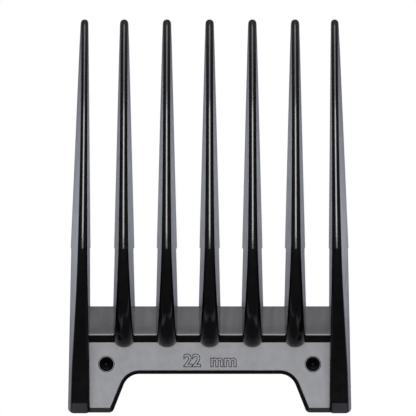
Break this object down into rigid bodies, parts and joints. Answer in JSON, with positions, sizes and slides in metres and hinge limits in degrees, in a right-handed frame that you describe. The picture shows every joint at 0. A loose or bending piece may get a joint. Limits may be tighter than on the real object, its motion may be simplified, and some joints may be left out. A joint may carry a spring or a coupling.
{
  "type": "clipper guard comb",
  "caption": "Clipper guard comb with curved tapered teeth, a sloping web, a cut-out base and riveted spring clips that hold it on a clipper blade.",
  "frame": {"origin": "centre of the bottom of the whole guard, lying on its back on the teeth's back edges", "axes": "+X across the teeth, +Y along the teeth towards the tips, +Z out of the front that glides over the skin"},
  "size_m": [0.0512, 0.0712, 0.0264],
  "materials": {
    "comb_plastic": "satin moulded black",
    "spring_steel": "tempered spring strip, brushed",
    "rivet_oxide": "black oxide, satin"
  },
  "bodies": {
    "guard": {"comb_body": "comb_plastic", "rivet_left": "rivet_oxide", "rivet_right": "rivet_oxide"},
    "clip_left": {"spring_clip_left": "spring_steel"},
    "clip_right": {"spring_clip_right": "spring_steel"}
  },
  "joints": [
    {"name": "clip_left_flex", "type": "hinge", "parent": "guard", "child": "clip_left", "pos_m": [-0.01865, -0.0244, 0.00515], "axis": [1, 0, 0], "range_deg": [0, 4], "stiffness_Nm_per_rad": 0.6},
    {"name": "clip_right_flex", "type": "hinge", "parent": "guard", "child": "clip_right", "pos_m": [0.01865, -0.0244, 0.00515], "axis": [1, 0, 0], "range_deg": [0, 4], "stiffness_Nm_per_rad": 0.6}
  ]
}
